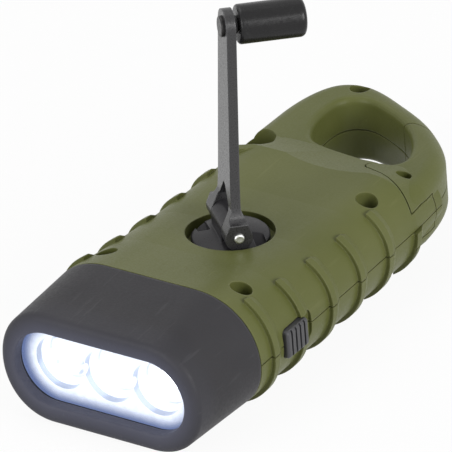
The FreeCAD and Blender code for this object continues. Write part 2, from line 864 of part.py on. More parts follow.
def reflector():
    """Bright block with one bowl behind each lamp and a skirt round the back."""
    half_w = window_width / 2 + window_lip
    half_h = window_height / 2 + window_lip
    block = round_slot(half_w, half_h, reflector_y, reflector_rear_y)
    skirt = round_slot(half_w, half_h, reflector_y, spigot_start_y - 0.1)
    wall_in = reflector_skirt_wall
    skirt = skirt.cut(round_slot(half_w - wall_in, half_h - wall_in, reflector_y - 1, spigot_start_y + 1))
    block = block.fuse(skirt)
    bowls = []
    hole = lamp_radius + lamp_hole_gap
    for x in lamp_places():
        curve = bezier([V(cup_radius, 0, 0), V(cup_radius * 0.97, 0.5 * cup_depth, 0),
                        V(cup_radius * 0.72, cup_depth, 0), V(hole, cup_depth, 0)])
        corners = Part.makePolygon([V(hole, cup_depth, 0), V(0, cup_depth, 0), V(0, -1, 0),
                                    V(cup_radius, -1, 0), V(cup_radius, 0, 0)])
        bowl = Part.Face(Part.Wire([curve] + corners.Edges)).revolve(V(0, 0, 0), V(0, 1, 0), 360)
        bowl.translate(V(x, reflector_y, seam_z))
        bowls.append(bowl)
        bowls.append(Part.makeCylinder(hole, 20, V(x, reflector_y, seam_z), V(0, 1, 0)))
    return block.cut(bowls)


def lamps():
    """Three domed lamps standing on the lamp board."""
    made = []
    for x in lamp_places():
        stem = lamp_length - lamp_radius
        post = Part.makeCylinder(lamp_radius, stem, V(x, lamp_board_y - stem, seam_z), V(0, 1, 0))
        dome = Part.makeSphere(lamp_radius, V(x, lamp_board_y - stem, seam_z))
        made.append(post.fuse(dome))
    return Part.makeCompound(made)


def lamp_board():
    half_w = window_width / 2 - lamp_board_lip
    half_h = window_height / 2 - lamp_board_lip + 0.6
    return round_slot(half_w, half_h, lamp_board_y, lamp_board_y + lamp_board_thickness)


def tube_along(points, radius):
    path = Part.Wire([spline_through(points)])
    start = (points[1] - points[0]).normalize()
    return path.makePipeShell([Part.Wire(Part.makeCircle(radius, points[0], start))], True, True)


def lamp_wires():
    """Two wires from the back of the lamp board to the main board."""
    back = lamp_board_y + lamp_board_thickness
    made = []
    for side in (-1, 1):
        x = side * wire_spacing / 2
        top = board_z + board_thickness + wire_radius
        points = [V(x, back + 0.2, seam_z + 2.0), V(x, back + 2.4, seam_z + 2.6),
                  V(x, board_front_y - 2.6, top - 0.6), V(x, board_front_y + 0.5, top),
                  V(x, board_front_y + 3.0, top)]
        made.append(tube_along(points, wire_radius))
    return Part.makeCompound(made)


def battery_cells():
    made = []
    for i in range(cell_count):
        x0 = (i - cell_count / 2.0) * cell_length + cell_gap / 2
        x1 = x0 + cell_length - cell_gap
        can = Part.makeCylinder(cell_radius, x1 - x0, V(x0, cell_y, cell_z), V(1, 0, 0))
        at = V(x1 - cell_groove_place, cell_y, cell_z)
        groove = Part.makeCylinder(cell_radius + 1, cell_groove, at, V(1, 0, 0))
        groove = groove.cut(Part.makeCylinder(cell_radius - cell_groove, cell_groove, at, V(1, 0, 0)))
        made.append(can.cut(groove))
    return Part.makeCompound(made)


def battery_holder():
    """Cradle on the floor of the lower shell; its end walls also carry the main board."""
    half = cell_count * cell_length / 2 + holder_gap
    out = half + holder_wall
    reach = cell_radius + holder_gap + 0.6
    cradle = box(-out, cell_y - reach, floor_z, out, cell_y + reach, cell_z)
    room = Part.makeCylinder(cell_radius + holder_gap, 2 * half, V(-half, cell_y, cell_z), V(1, 0, 0))
    cradle = cradle.cut(room)
    walls = []
    for side in (-1, 1):
        x0, x1 = sorted((side * half, side * out))
        walls.append(box(x0, cell_y - reach + 1.5, floor_z, x1, cell_y + reach - 1.5, board_z))
    return cradle.fuse(walls)


def main_board():
    board = box(-board_half_width, board_front_y, board_z, board_half_width, board_rear_y,
                board_z + board_thickness)
    drive_tip = pitch_radius(drive_teeth) + gear_module
    cuts = [disc(hub[0], hub[1], 0, 60, drive_tip + 0.8)]
    cuts += [disc(x, y, 0, 60, boss_radius + boss_clearance) for x, y in front_screws]
    chip = box(-9.0, board_front_y + 4.0, board_z + board_thickness, -4.0, board_front_y + 8.0,
               board_z + board_thickness + 1.4)
    choke = disc(7.5, board_front_y + 6.0, board_z + board_thickness, board_z + board_thickness + 2.2, 2.6)
    return board.cut(cuts).fuse([chip, choke])


def switch_body():
    """Slide switch under the board, open towards the button's stem."""
    x1 = slider_back_x - stem_reach + 1.6
    x0 = x1 - switch_body_depth
    y_mid = switch_y + stem_offset + slider_travel / 2
    y0 = y_mid - switch_body_length / 2
    y1 = y_mid + switch_body_length / 2
    body = box(x0, y0, seam_z - switch_body_half_height, x1, y1, board_z)
    half_z = stem_height / 2 + slot_gap
    run0 = switch_y + stem_offset - stem_length / 2 - slot_gap
    run1 = switch_y + stem_offset + stem_length / 2 + slider_travel + slot_gap
    mouth = box(slider_back_x - stem_reach - slot_gap, run0, seam_z - half_z, x1 + 1, run1, seam_z + half_z)
    return body.cut(mouth)


def switch_slider():
    """Button with upright grip grooves and a stem into the switch."""
    y0 = switch_y - slider_length / 2
    y1 = switch_y + slider_length / 2
    outer_x = switch_face_x + slider_proud
    plate = box(slider_back_x, y0, seam_z - slider_height / 2, outer_x, y1, seam_z + slider_height / 2)
    rounds = [e for e in plate.Edges if e.BoundBox.XMin > outer_x - 0.01 or e.BoundBox.XLength > 0.5]
    plate = plate.makeFillet(slider_round, rounds)
    grooves = []
    for i in range(slider_grooves):
        y = switch_y + (i - (slider_grooves - 1) / 2.0) * slider_groove_pitch
        grooves.append(box(outer_x - slider_groove_depth, y - slider_groove_width / 2, 0,
                           outer_x + 1, y + slider_groove_width / 2, 60))
    stem_y = switch_y + stem_offset
    stem = box(slider_back_x - stem_reach, stem_y - stem_length / 2, seam_z - stem_height / 2,
               slider_back_x + 0.2, stem_y + stem_length / 2, seam_z + stem_height / 2)
    return plate.cut(grooves).fuse(stem)


def plate_block(z0, front_y):
    """Rounded flat plate that fits between the screw bosses."""
    plate = box(-plate_half_width, front_y, z0, plate_half_width, plate_rear_y, z0 + plate_thickness)
    corners = [e for e in plate.Edges if e.BoundBox.ZLength > 0.5]
    plate = plate.makeFillet(plate_round, corners)
    return plate.cut([disc(rear_screw_x, rear_screw_y, 0, 60, boss_radius + boss_clearance),
                      pocket_block(pocket_radius + pocket_wall + boss_clearance, 0, 60)])


def gearbox_base():
    """Lower plate with three posts that carry the upper plate."""
    base = plate_block(base_plate_z, plate_front_y)
    uprights = [disc(x, y, base_plate_z, top_plate_z, post_radius) for x, y in posts]
    base = base.fuse(uprights)
    holes = [disc(x, y, 0, 60, post_screw_radius + fit_gap) for x, y in posts]
    holes += [disc(x, y, 0, 60, idler_shaft_radius) for x, y in (first_idler, second_idler)]
    holes.append(disc(rotor[0], rotor[1], 0, 60, rotor_shaft_radius + running_clearance))
    return base.cut(holes)


def gearbox_top():
    plate = plate_block(top_plate_z, top_plate_front_y)
    holes = [disc(x, y, 0, 60, post_screw_radius + fit_gap) for x, y in posts]
    holes += [disc(x, y, 0, 60, idler_shaft_radius) for x, y in (first_idler, second_idler)]
    holes.append(disc(rotor[0], rotor[1], 0, 60, rotor_shaft_radius + running_clearance))
    holes.append(disc(hub[0], hub[1], 0, 60, bush_radius))
    return plate.cut(holes)


def gearbox_screws():
    length = top_plate_top_z + post_screw_bite - base_plate_z
    made = [screw(x, y, base_plate_z, length, post_screw_radius, post_screw_head_radius,
                  post_screw_head_height, -1) for x, y in posts]
    return Part.makeCompound(made)


def shell_screws():
    made = [screw(x, y, front_screw_head_z, screw_length) for x, y in front_screws]
    made.append(screw(rear_screw_x, rear_screw_y, rear_screw_head_z, screw_length))
    made.append(screw(ring_screw_x, ring_screw_y, ring_screw_z, screw_length))
    return Part.makeCompound(made)


def gate_screw():
    return screw(gate_screw_x, gate_screw_y, gate_screw_recess_z, screw_length - 0.6, way=-1)


def hub_bush():
    return ring(hub[0], hub[1], top_plate_z - bush_drop, recess_floor_z + bush_rise, bush_radius,
                hub_shaft_radius + running_clearance)


def to_crank_place(shape, leaning=True):
    """Move a piece made upright about its pin to its place on the hub."""
    if leaning:
        shape.rotate(V(0, 0, 0), V(1, 0, 0), -arm_lean)
    shape.rotate(V(0, 0, 0), V(0, 0, 1), crank_angle - 90.0)
    shape.translate(V(hub[0], hub[1], pin_z))
    return shape


def across(radius, x0, x1):
    """Cylinder along the pin's direction in the crank's own frame."""
    return Part.makeCylinder(radius, x1 - x0, V(x0, 0, 0), V(1, 0, 0))


def crank_hub():
    """Round disc with a domed top, the raised knuckle for the arm pin and the drive shaft."""
    rim = -pin_above_rim
    under = rim - hub_rim_thickness
    flat_edge = hub_radius - hub_rim_chamfer
    edges = [Part.makeLine(V(0, 0, under), V(hub_radius, 0, under)),
             Part.makeLine(V(hub_radius, 0, under), V(hub_radius, 0, rim - hub_rim_chamfer)),
             Part.makeLine(V(hub_radius, 0, rim - hub_rim_chamfer), V(flat_edge, 0, rim)),
             Part.Arc(V(flat_edge, 0, rim), V(hub_radius * 0.62, 0, rim + hub_dome * 0.62),
                      V(0, 0, rim + hub_dome)).toShape(),
             Part.makeLine(V(0, 0, rim + hub_dome), V(0, 0, under))]
    disc_part = Part.Face(Part.Wire(edges)).revolve(V(0, 0, 0), V(0, 0, 1), 360)
    knuckle = across(ear_radius, -knuckle_half_width, knuckle_half_width)
    foot = box(-knuckle_half_width, -ear_radius, rim - 0.5, knuckle_half_width, ear_radius, 0)
    gear_top = drive_layer_z + drive_gear_thickness - pin_z
    gear_low = drive_layer_z + 0.1 - pin_z
    shaft = disc(0, 0, gear_top, under + 0.5, hub_shaft_radius)
    tail = d_shaft(gear_low, gear_top + 0.5, 0.0)
    pilot_hole = disc(0, 0, gear_low - 1, gear_low + gear_screw_length + pilot_spare,
                      screw_radius + pilot_gap)
    hub_shape = disc_part.fuse([knuckle, foot, shaft, tail])
    cuts = [pilot_hole, across(arm_pin_radius + running_clearance, -20, 20)]
    for side in (-1, 1):
        x0, x1 = sorted((side * (knuckle_half_width), side * (ear_outer + pin_proud + 0.5)))
        cuts.append(across(ear_radius + ear_pocket_gap, x0, x1))
    wedge = Part.makePolygon([V(1.2, 0, rim + 2), V(8.6, 0, rim + 2), V(8.6, 0, rim - 0.1),
                              V(5.4, 0, rim - wedge_depth), V(1.2, 0, rim + 1.2), V(1.2, 0, rim + 2)])
    for turn in (0, 180):
        cut = Part.Face(wedge).extrude(V(0, 2.6, 0))
        cut.translate(V(0, ear_radius + 0.8, 0))
        cut.rotate(V(0, 0, 0), V(0, 0, 1), turn)
        cuts.append(cut)
    return to_crank_place(hub_shape.cut(cuts), leaning=False)


def d_shaft(z0, z1, grow):
    """Lower end of the drive shaft with one flat side."""
    radius = shaft_lower_radius + grow
    return disc(0, 0, z0, z1, radius).cut(box(shaft_flat + grow, -5, z0 - 1, 10, 5, z1 + 1))


def crank_arm():
    """Flat arm that widens down to a fork with two round ears."""
    top = arm_length
    half_top = arm_top_width / 2
    half_base = arm_base_width / 2
    low = -ear_radius - 1

    def leg_side(side):
        return bezier([V(side * ear_outer, 0, ear_shoulder), V(side * (half_base + 1.2), 0, ear_shoulder),
                       V(side * (half_base + leg_spread), 0, slot_shoulder), V(side * half_base, 0, leg_top)])

    edges = [Part.makeLine(V(ear_outer, 0, low), V(ear_outer, 0, ear_shoulder)), leg_side(1),
             Part.makeLine(V(half_base, 0, leg_top), V(half_top, 0, top)),
             Part.Arc(V(half_top, 0, top), V(0, 0, top + half_top), V(-half_top, 0, top)).toShape(),
             Part.makeLine(V(-half_top, 0, top), V(-half_base, 0, leg_top)), leg_side(-1),
             Part.makeLine(V(-ear_outer, 0, ear_shoulder), V(-ear_outer, 0, low)),
             Part.makeLine(V(-ear_outer, 0, low), V(ear_outer, 0, low))]
    face = Part.Face(Part.Wire(edges))
    plan = face.extrude(V(0, 8, 0))
    plan.translate(V(0, -4, 0))
    tip_x = slot_tip_half_width
    tip_z = slot_peak - slot_tip_rise
    corners = [V(-tip_x, 0, tip_z), V(-slot_half_width, 0, slot_shoulder), V(-slot_half_width, 0, low - 1),
               V(slot_half_width, 0, low - 1), V(slot_half_width, 0, slot_shoulder), V(tip_x, 0, tip_z)]
    sides = [Part.makeLine(corners[i], corners[i + 1]) for i in range(5)]
    tip = Part.Arc(corners[5], V(0, 0, slot_peak), corners[0]).toShape()
    slot = Part.Wire(sides + [tip])
    slot = Part.Face(slot).extrude(V(0, 12, 0))
    slot.translate(V(0, -6, 0))
    half = arm_thickness / 2
    lean_z = 1.1
    lean_y = math.sqrt(ear_radius ** 2 - lean_z ** 2)
    profile = Part.makePolygon([V(0, -lean_y, lean_z), V(0, -half, leg_taper_end), V(0, -half, top + 6),
                                V(0, half, top + 6), V(0, half, leg_taper_end), V(0, lean_y, lean_z),
                                V(0, -lean_y, lean_z)])
    blade = Part.Face(profile).extrude(V(20, 0, 0))
    blade.translate(V(-10, 0, 0))
    thick = blade.fuse(across(ear_radius, -10, 10))
    arm = plan.common(thick).cut([slot])
    holes = [across(arm_pin_radius, -20, 20),
             Part.makeCylinder(knob_axle_radius, 10, V(0, -5, top), V(0, 1, 0))]
    return to_crank_place(arm.cut(holes))


def arm_pin():
    pin = across(arm_pin_radius, -ear_outer - pin_proud, ear_outer + pin_proud)
    ends = [e for e in pin.Edges if e.BoundBox.XLength < 0.01]
    return to_crank_place(pin.makeFillet(0.45, ends))


def along_knob(radius, y0, y1):
    return Part.makeCylinder(radius, y1 - y0, V(0, y0, arm_length), V(0, 1, 0))


def knob_axle():
    """Headed axle riveted through the top of the arm."""
    face = arm_thickness / 2
    head = along_knob(rivet_radius, -face - rivet_height, -face)
    head = head.makeFillet(0.3, [e for e in head.Edges if e.BoundBox.YMax < -face - rivet_height + 0.01])
    collar = along_knob(knob_collar_radius, face, face + knob_gap - 0.2)
    rod = along_knob(knob_axle_radius, -face, face + knob_gap + knob_length - knob_cap - 0.2)
    return to_crank_place(head.fuse([collar, rod]))


def crank_knob():
    y0 = arm_thickness / 2 + knob_gap
    y1 = y0 + knob_length
    knob = along_knob(knob_radius, y0, y1)
    far = [e for e in knob.Edges if e.BoundBox.YMin > y1 - 0.01]
    knob = knob.makeFillet(knob_round, far)
    near = [e for e in knob.Edges if e.BoundBox.YMax < y0 + 0.01]
    knob = knob.makeFillet(knob_near_round, near)
    bore = along_knob(knob_axle_radius + running_clearance, y0 - 1, y1 - knob_cap)
    return to_crank_place(knob.cut(bore))


def drive_gear():
    top = drive_layer_z + drive_gear_thickness
    wheel = gear(hub, drive_layer_z, top, drive_teeth)
    bore = d_shaft(drive_layer_z - 1, top + 1, 0.0)
    bore.rotate(V(0, 0, 0), V(0, 0, 1), crank_angle - 90.0)
    bore.translate(V(hub[0], hub[1], 0))
    holes = []
    for i in range(drive_hole_count):
        x, y = around(hub, drive_hole_circle, (i + 0.5) * 360.0 / drive_hole_count)
        holes.append(disc(x, y, drive_layer_z - 1, top + 1, drive_hole_radius))
    return wheel.cut([bore] + holes)


def hub_washer():
    return ring(hub[0], hub[1], drive_layer_z - washer_thickness, drive_layer_z, washer_radius,
                screw_radius + fit_gap)


def gear_screw():
    return screw(hub[0], hub[1], drive_layer_z - washer_thickness, gear_screw_length, way=-1)


def idler(centre, teeth, wheel_z, wheel_phase, pinion, pinion_top, pinion_phase, collar_top):
    """Wheel with a smaller pinion above it, a foot below and a collar on top, turning on a fixed shaft."""
    wheel_top = wheel_z + wheel_thickness
    made = gear(centre, wheel_z, wheel_top, teeth, wheel_phase)
    small = gear(centre, wheel_top, pinion_top, pinion, pinion_phase)
    foot_z = base_plate_z + plate_thickness + end_play
    foot = disc(centre[0], centre[1], foot_z, wheel_z, idler_foot_radius)
    others = [small, foot]
    if collar_top > pinion_top:
        others.append(disc(centre[0], centre[1], pinion_top, collar_top, idler_collar_radius))
    made = made.fuse(others)
    return made.cut(disc(centre[0], centre[1], 0, 60, idler_shaft_radius + running_clearance))


def first_idler_gear():
    phase = meshed_phase(hub, drive_teeth, 0.0, first_idler, first_pinion_teeth)
    top = drive_layer_z + drive_gear_thickness + pinion_overlap
    return idler(first_idler, first_wheel_teeth, first_layer_z, phase, first_pinion_teeth, top, phase,
                 top_plate_z - end_play)


def second_idler_gear():
    first_phase = meshed_phase(hub, drive_teeth, 0.0, first_idler, first_pinion_teeth)
    phase = meshed_phase(first_idler, first_wheel_teeth, first_phase, second_idler, second_pinion_teeth)
    top = first_layer_z + wheel_thickness + pinion_overlap
    return idler(second_idler, second_wheel_teeth, second_layer_z, phase, second_pinion_teeth, top, phase,
                 top_plate_z - end_play)


def rotor_pinion():
    first_phase = meshed_phase(hub, drive_teeth, 0.0, first_idler, first_pinion_teeth)
    second_phase = meshed_phase(first_idler, first_wheel_teeth, first_phase,
                                second_idler, second_pinion_teeth)
    phase = meshed_phase(second_idler, second_wheel_teeth, second_phase, rotor, rotor_pinion_teeth)
    z0 = second_layer_z - pinion_overlap
    z1 = second_layer_z + wheel_thickness + pinion_overlap
    pinion = gear(rotor, z0, z1, rotor_pinion_teeth, phase)
    return pinion.cut(disc(rotor[0], rotor[1], 0, 60, rotor_shaft_radius))


def idler_shaft(centre):
    return disc(centre[0], centre[1], base_plate_z, top_plate_top_z, idler_shaft_radius)


def rotor_shaft():
    low = rotor_bush_z + rotor_bush_floor + rotor_shaft_lift
    return disc(rotor[0], rotor[1], low, top_plate_top_z - end_play, rotor_shaft_radius)


def rotor_magnet():
    return ring(rotor[0], rotor[1], magnet_z, magnet_z + magnet_height, magnet_radius, rotor_shaft_radius)


def rotor_bush():
    top = rotor_bush_z + rotor_bush_height
    bush = disc(rotor[0], rotor[1], rotor_bush_z, top, rotor_bush_radius)
    floor = rotor_bush_z + rotor_bush_floor
    return bush.cut(disc(rotor[0], rotor[1], floor, top + 1, rotor_shaft_radius + running_clearance))


def stator_core():
    """Ring with two flanges and claws that reach over the coil by turns from above and below."""
    z0 = stator_low_z
    z1 = z0 + stator_height
    x, y = rotor
    can = ring(x, y, z0, z1, stator_radius, stator_radius - stator_wall)
    flanges = [ring(x, y, z0, z0 + stator_flange, stator_radius, stator_bore),
               ring(x, y, z1 - stator_flange, z1, stator_radius, stator_bore)]
    claws = []
    for i in range(claw_count):
        low = z0 if i % 2 == 0 else z0 + stator_flange + claw_gap
        high = z1 - stator_flange - claw_gap if i % 2 == 0 else z1
        claw = ring(x, y, low, high, stator_bore + claw_thickness, stator_bore)
        bar = box(x, y - claw_width / 2, low, x + stator_radius, y + claw_width / 2, high)
        bar.rotate(V(x, y, 0), V(0, 0, 1), i * 360.0 / claw_count)
        claws.append(claw.common(bar))
    return can.fuse(flanges + claws)


def stator_coil():
    z0 = stator_low_z + stator_flange + coil_gap
    z1 = stator_low_z + stator_height - stator_flange - coil_gap
    return ring(rotor[0], rotor[1], z0, z1, stator_radius - stator_wall - coil_gap,
                stator_bore + claw_thickness + coil_gap)


def build():
    """Every piece of the flashlight by name."""
    body, gate = casing()
    upper, lower = shells(body)
    gate_upper, gate_lower = gate_halves(gate)
    return {
        "upper_shell": upper,
        "lower_shell": lower,
        "shell_screws": shell_screws(),
        "head_bezel": head_bezel(),
        "lens_gasket": lens_gasket(),
        "lens": lens(),
        "reflector": reflector(),
        "lamps": lamps(),
        "lamp_board": lamp_board(),
        "lamp_wires": lamp_wires(),
        "battery_cells": battery_cells(),
        "battery_holder": battery_holder(),
        "main_board": main_board(),
        "switch_body": switch_body(),
        "switch_slider": switch_slider(),
        "gearbox_base": gearbox_base(),
        "gearbox_top": gearbox_top(),
        "gearbox_screws": gearbox_screws(),
        "hub_bush": hub_bush(),
        "crank_hub": crank_hub(),
        "crank_arm": crank_arm(),
        "arm_pin": arm_pin(),
        "knob_axle": knob_axle(),
        "crank_knob": crank_knob(),
        "drive_gear": drive_gear(),
        "hub_washer": hub_washer(),
        "gear_screw": gear_screw(),
        "first_idler_gear": first_idler_gear(),
        "second_idler_gear": second_idler_gear(),
        "first_idler_shaft": idler_shaft(first_idler),
        "second_idler_shaft": idler_shaft(second_idler),
        "rotor_pinion": rotor_pinion(),
        "rotor_shaft": rotor_shaft(),
        "rotor_magnet": rotor_magnet(),
        "rotor_bush": rotor_bush(),
        "stator_core": stator_core(),
        "stator_coil": stator_coil(),
        "gate_upper": gate_upper,
        "gate_lower": gate_lower,
        "gate_pin": gate_pin_piece(),
        "gate_spring": gate_spring(),
        "gate_screw": gate_screw(),
    }


if __name__ == "__main__":
    os.makedirs("parts", exist_ok=True)
    for name, shape in build().items():
        shape.translate(V(0, -length / 2, 0))
        shape.exportStep("parts/" + name + ".step")
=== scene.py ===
import bmesh
import bpy
import math
from mathutils import Matrix, Vector


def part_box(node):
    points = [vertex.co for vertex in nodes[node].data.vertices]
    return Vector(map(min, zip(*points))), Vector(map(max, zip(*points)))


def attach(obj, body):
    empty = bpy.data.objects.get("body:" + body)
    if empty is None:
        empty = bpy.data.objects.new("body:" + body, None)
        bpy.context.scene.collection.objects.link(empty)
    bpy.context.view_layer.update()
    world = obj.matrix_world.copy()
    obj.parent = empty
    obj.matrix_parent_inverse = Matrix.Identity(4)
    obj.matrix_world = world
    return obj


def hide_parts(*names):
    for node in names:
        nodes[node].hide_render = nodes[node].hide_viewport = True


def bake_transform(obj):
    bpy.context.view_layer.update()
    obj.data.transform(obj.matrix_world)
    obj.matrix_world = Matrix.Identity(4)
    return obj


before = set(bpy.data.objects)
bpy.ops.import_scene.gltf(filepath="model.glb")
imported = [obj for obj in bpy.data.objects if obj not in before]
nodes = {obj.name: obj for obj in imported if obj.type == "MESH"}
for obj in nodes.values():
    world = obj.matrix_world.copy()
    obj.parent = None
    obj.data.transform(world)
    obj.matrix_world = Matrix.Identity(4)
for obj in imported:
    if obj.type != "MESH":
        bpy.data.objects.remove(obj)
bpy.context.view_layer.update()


# The camera stands in front of the lamps, a little to the right and above, far off with a long lens.
# It leans by a few degrees, as the photograph does.
camera_turn = math.radians(35.86)
camera_height = math.radians(29.03)
camera_lean = math.radians(4.59)
camera_distance = 1.823
pixels_per_metre = 4676.0
pixels_right_of_middle = 18.88
pixels_below_middle = 40.6
picture_width = 452.0
film_width = 36.0
back = Vector((math.sin(camera_turn) * math.cos(camera_height),
               -math.cos(camera_turn) * math.cos(camera_height), math.sin(camera_height)))
right = Vector((math.cos(camera_turn), math.sin(camera_turn), 0.0))
up = back.cross(right)
lean_right = right * math.cos(camera_lean) - up * math.sin(camera_lean)
lean_up = right * math.sin(camera_lean) + up * math.cos(camera_lean)
looked_at = Vector((0.0, -0.00735, 0.0135))
looked_at -= lean_right * (pixels_right_of_middle / pixels_per_metre)
looked_at += lean_up * (pixels_below_middle / pixels_per_metre)
camera_data = bpy.data.cameras.new("camera")
camera_data.sensor_width = film_width
camera_data.lens = pixels_per_metre * camera_distance * film_width / picture_width
camera_data.clip_start = 0.05
camera_data.clip_end = 20.0
camera = bpy.data.objects.new("camera", camera_data)
camera.matrix_world = Matrix((
    (lean_right.x, lean_up.x, back.x, looked_at.x + back.x * camera_distance),
    (lean_right.y, lean_up.y, back.y, looked_at.y + back.y * camera_distance),
    (lean_right.z, lean_up.z, back.z, looked_at.z + back.z * camera_distance),
    (0.0, 0.0, 0.0, 1.0)))
bpy.context.scene.collection.objects.link(camera)
bpy.context.scene.camera = camera
bpy.context.scene.view_settings.view_transform = "Standard"


# White studio: the room and the floor read as plain white to the eye, in mirrors and through glass,
# and three soft lamps give the object its shading. The floor keeps a faint shadow of it.
white = (1.0, 1.0, 1.0, 1.0)
room_strength = 0.42
floor_half_width = 3.0
floor_height = -0.0002
floor_grey = (0.82, 0.82, 0.82, 1.0)
floor_white_share = 0.93
lamps_aim_at = Vector((0.0, 0.0, 0.02))


def add(tree, kind, feeds=None, **settings):
    """New node with its settings; a feed is a plain value or the socket that it comes from."""
    node = tree.nodes.new(kind)
    for key, value in settings.items():
        setattr(node, key, value)
    for key, value in (feeds or {}).items():
        if isinstance(value, bpy.types.NodeSocket):
            tree.links.new(value, node.inputs[key])
        else:
            node.inputs[key].default_value = value
    return node


def maths(tree, operation, *values):
    """Result of a sum on plain values and sockets."""
    return add(tree, "ShaderNodeMath", dict(enumerate(values)), operation=operation).outputs[0]


def seen_directly(tree):
    """One for rays from the camera, mirror rays and rays through glass."""
    path = add(tree, "ShaderNodeLightPath").outputs
    first = maths(tree, "MAXIMUM", path["Is Camera Ray"], path["Is Transmission Ray"])
    return maths(tree, "MAXIMUM", first, path["Is Glossy Ray"])


world = bpy.data.worlds.new("studio")
bpy.context.scene.world = world
world.use_nodes = True
room_tree = world.node_tree
room_tree.nodes.clear()
room_light = add(room_tree, "ShaderNodeBackground", {"Color": white, "Strength": room_strength})
room_white = add(room_tree, "ShaderNodeBackground", {"Color": white, "Strength": 1.0})
room = add(room_tree, "ShaderNodeMixShader", {0: seen_directly(room_tree), 1: room_light.outputs[0],
                                              2: room_white.outputs[0]})
add(room_tree, "ShaderNodeOutputWorld", {"Surface": room.outputs[0]})

for name, place, size, power in (("top lamp", (-0.35, 0.1, 0.8), 0.6, 1.9),
                                 ("right lamp", (0.9, -0.1, 0.4), 0.5, 6.2),
                                 ("front lamp", (-0.2, -0.9, 0.35), 0.5, 4.4)):
    lamp = bpy.data.lights.new(name, "AREA")
    lamp.size = size
    lamp.energy = power
    holder = bpy.data.objects.new(name, lamp)
    holder.location = place
    holder.rotation_euler = (lamps_aim_at - Vector(place)).to_track_quat("-Z", "Y").to_euler()
    bpy.context.scene.collection.objects.link(holder)

floor_mesh = bpy.data.meshes.new("floor")
floor_mesh.from_pydata([(x * floor_half_width, y * floor_half_width, floor_height)
                        for x, y in ((-1, -1), (1, -1), (1, 1), (-1, 1))], [], [(0, 1, 2, 3)])
floor = bpy.data.objects.new("floor", floor_mesh)
bpy.context.scene.collection.objects.link(floor)
floor_paint = bpy.data.materials.new("white floor")
floor_paint.use_nodes = True
floor_tree = floor_paint.node_tree
floor_tree.nodes.clear()
floor_matte = add(floor_tree, "ShaderNodeBsdfDiffuse", {"Color": floor_grey})
floor_white = add(floor_tree, "ShaderNodeEmission", {"Color": white, "Strength": 1.0})
floor_share = maths(floor_tree, "MULTIPLY", seen_directly(floor_tree), floor_white_share)
floor_mix = add(floor_tree, "ShaderNodeMixShader", {0: floor_share, 1: floor_matte.outputs[0],
                                                    2: floor_white.outputs[0]})
add(floor_tree, "ShaderNodeOutputMaterial", {"Surface": floor_mix.outputs[0]})
floor_mesh.materials.append(floor_paint)


# The casing: two green shells moulded in a tough satin plastic and screwed together, with ribs
# along the sides for grip. The moulding has a fine spark grain, and handling polishes its edges; their
# lighter colour is partly wear and partly a painted highlight.
cloud_scale = 48.0
wear_patch_scale = 130.0
scuff_turn = (0.3, 0.2, 0.7)
scuff_scale = (900.0, 60.0, 700.0)
scuff_share = 0.22
scuff_depth = -0.6
grain_gloss = 0.07
usual_noise = (0.3, 0.7)
edge_turn_starts = 0.985
edge_turn_full = 0.8
polish_of_wear = -0.12
moulding_bump_height = 0.00006


def span(tree, value, low, high, to_low=0.0, to_high=1.0, **settings):
    """A value taken from one range to another, and held at its ends."""
    return add(tree, "ShaderNodeMapRange", {"Value": value, "From Min": low, "From Max": high,
                                            "To Min": to_low, "To Max": to_high}, **settings).outputs[0]


def noise(tree, where, scale, detail):
    """Soft noise from 0 to 1 at a place."""
    feeds = {"Vector": where, "Scale": scale, "Detail": detail}
    return add(tree, "ShaderNodeTexNoise", feeds).outputs["Fac"]


def between(tree, share, first, second):
    """Colour that goes from the first to the second by share."""
    return add(tree, "ShaderNodeMix", {0: share, 6: first, 7: second}, data_type="RGBA").outputs[2]


def object_place(tree):
    """Place on the object itself."""
    return add(tree, "ShaderNodeTexCoord").outputs["Object"]


def group_with(name, inputs, outputs):
    """Empty shader group with named sockets; returns its tree, its inputs and its outputs."""
    tree = bpy.data.node_groups.new(name, "ShaderNodeTree")
    for label, value in inputs.items():
        kind = "NodeSocketColor" if isinstance(value, tuple) else "NodeSocketFloat"
        tree.interface.new_socket(label, in_out="INPUT", socket_type=kind).default_value = value
    for label in outputs:
        kind = "NodeSocketColor" if label == "Colour" else "NodeSocketFloat"
        tree.interface.new_socket(label, in_out="OUTPUT", socket_type=kind)
    return tree, add(tree, "NodeGroupInput").outputs, add(tree, "NodeGroupOutput").inputs


def blank_material(name):
    """New material and its empty tree."""
    material = bpy.data.materials.new(name)
    material.use_nodes = True
    material.node_tree.nodes.clear()
    return material, material.node_tree


def use_group(tree, group, values):
    """A group in a tree with its values set; returns its outputs."""
    node = add(tree, "ShaderNodeGroup", node_tree=group)
    for label, value in values.items():
        node.inputs[label].default_value = value
    return node.outputs


def shade(tree, feeds):
    """The shader that ends a tree; returns its inputs."""
    shader = add(tree, "ShaderNodeBsdfPrincipled", feeds)
    add(tree, "ShaderNodeOutputMaterial", {"Surface": shader.outputs[0]})
    return shader.inputs


def wear_and_highlight_edges(tree, radius):
    """Mask of the outer edges: where the surface turns within the given radius."""
    turned = add(tree, "ShaderNodeBevel", {"Radius": radius}, samples=4)
    surface = add(tree, "ShaderNodeNewGeometry")
    same = add(tree, "ShaderNodeVectorMath", {0: turned.outputs[0], 1: surface.outputs["Normal"]},
               operation="DOT_PRODUCT")
    return span(tree, same.outputs["Value"], edge_turn_starts, edge_turn_full)


